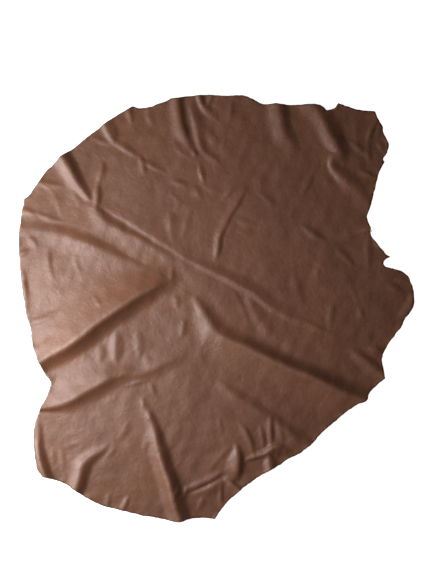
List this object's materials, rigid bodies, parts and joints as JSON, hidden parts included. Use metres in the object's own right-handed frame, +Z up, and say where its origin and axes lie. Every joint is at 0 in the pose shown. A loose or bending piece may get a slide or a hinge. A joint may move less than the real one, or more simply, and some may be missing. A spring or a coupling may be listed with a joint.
{
  "type": "leather hide",
  "caption": "Whole brown leather skin, grain side up, with a natural ragged outline, laid out on a flat surface in loose folds.",
  "frame": {"origin": "on the surface that the hide lies on, under the middle of its box", "axes": "+Z up, out of the grain side; +Y along the hide's longest extent, towards its crown edge; +X towards its ragged side"},
  "size_m": [0.8356, 0.9002, 0.0246],
  "materials": {
    "leather": "semi-matt brown grain side with a fine pebbled grain; pale brown suede flesh side"
  },
  "bodies": {
    "root": {"hide": "leather"}
  },
  "joints": []
}
